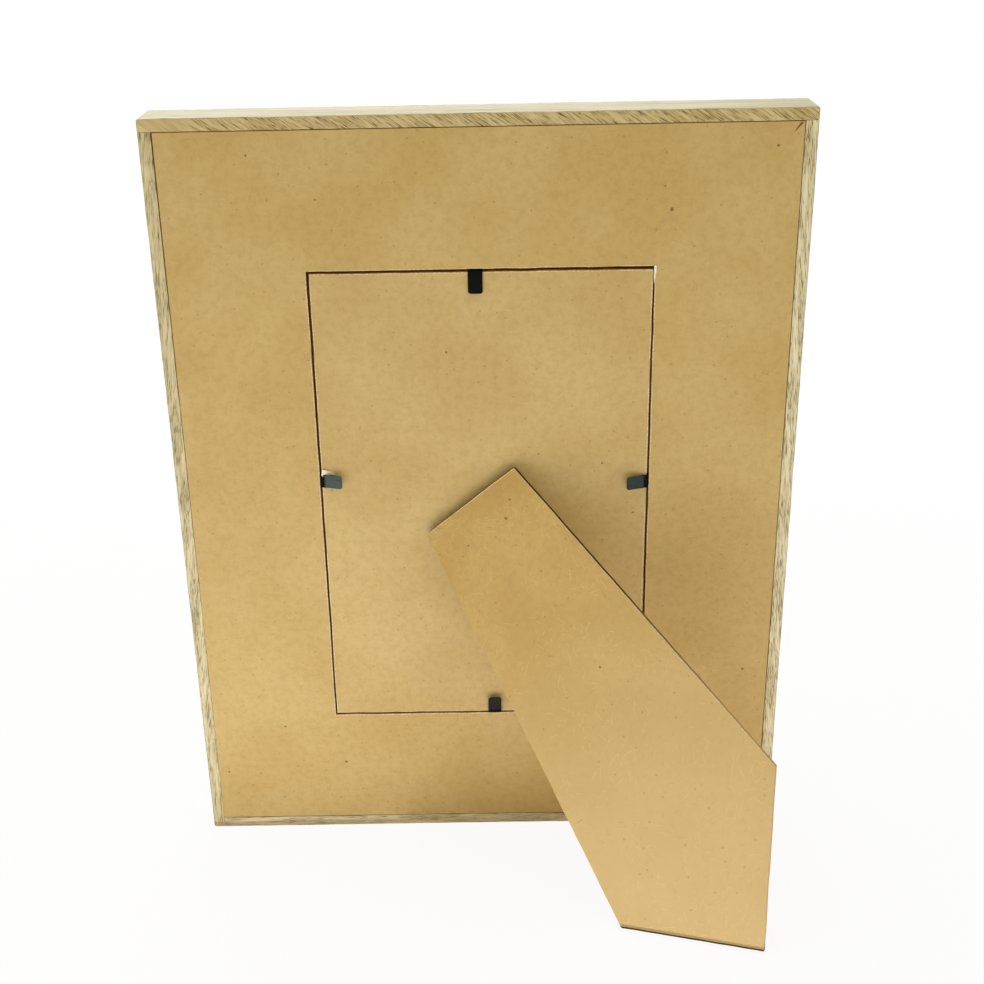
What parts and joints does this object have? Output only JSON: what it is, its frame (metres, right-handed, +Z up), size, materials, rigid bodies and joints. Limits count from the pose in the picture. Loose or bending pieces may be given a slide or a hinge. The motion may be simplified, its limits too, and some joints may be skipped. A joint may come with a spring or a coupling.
{
  "type": "easel back photo frame",
  "caption": "Wooden photo frame with a fibreboard back, a door held by bendable steel tabs and a hinged diagonal easel leg that stands it upright or on its side.",
  "frame": {"origin": "on the table, under the middle of the standing frame's bounding box", "axes": "+Z up, the picture side faces -Y and leans back, the easel leg is at +Y"},
  "size_m": [0.1952, 0.105, 0.2442],
  "materials": {
    "mango_wood": "sanded, lightly oiled",
    "fibreboard": "raw medium density fibreboard",
    "clear_glass": "clear float glass",
    "blank_paper": "bare photo paper",
    "grey_card": "plain grey card",
    "black_steel": "blackened soft steel",
    "plated_steel": "zinc plated steel"
  },
  "bodies": {
    "frame": {"rim_top": "mango_wood", "rim_left": "mango_wood", "rim_right": "mango_wood", "rim_bottom": "mango_wood", "front_top_rail": "mango_wood", "front_bottom_rail": "mango_wood", "front_left_stile": "mango_wood", "front_right_stile": "mango_wood", "corner_v_nails": "plated_steel", "back_panel": "fibreboard", "glass_pane": "clear_glass", "picture_sheet": "blank_paper", "filler_card": "grey_card", "door_panel": "fibreboard", "hinge_door_plate": "plated_steel", "hinge_pin": "plated_steel", "tab_top_shank": "black_steel", "tab_left_shank": "black_steel", "tab_right_shank": "black_steel", "tab_bottom_shank": "black_steel"},
    "leg": {"easel_leg": "fibreboard", "hinge_leg_plate": "plated_steel"},
    "tab_top": {"tab_top_blade": "black_steel"},
    "tab_left": {"tab_left_blade": "black_steel"},
    "tab_right": {"tab_right_blade": "black_steel"},
    "tab_bottom": {"tab_bottom_blade": "black_steel"}
  },
  "joints": [
    {"name": "leg_hinge", "type": "hinge", "parent": "frame", "child": "leg", "pos_m": [0.0001, -0.01252, 0.11752], "axis": [0.7804, -0.1225, -0.6131], "range_deg": [-32.1, 0]},
    {"name": "tab_top_bend", "type": "hinge", "parent": "frame", "child": "tab_top", "pos_m": [0.0016, 0.00164, 0.19602], "axis": [1, 0, 0], "range_deg": [0, 100]},
    {"name": "tab_left_bend", "type": "hinge", "parent": "frame", "child": "tab_left", "pos_m": [0.05153, -0.01154, 0.13007], "axis": [0, -0.1959, -0.9806], "range_deg": [-14, 86]},
    {"name": "tab_right_bend", "type": "hinge", "parent": "frame", "child": "tab_right", "pos_m": [-0.05153, -0.01191, 0.12821], "axis": [0, 0.1959, 0.9806], "range_deg": [-16, 84]},
    {"name": "tab_bottom_bend", "type": "hinge", "parent": "frame", "child": "tab_bottom", "pos_m": [-0.0022, -0.02855, 0.04495], "axis": [-1, 0, 0], "range_deg": [-12, 88]}
  ]
}
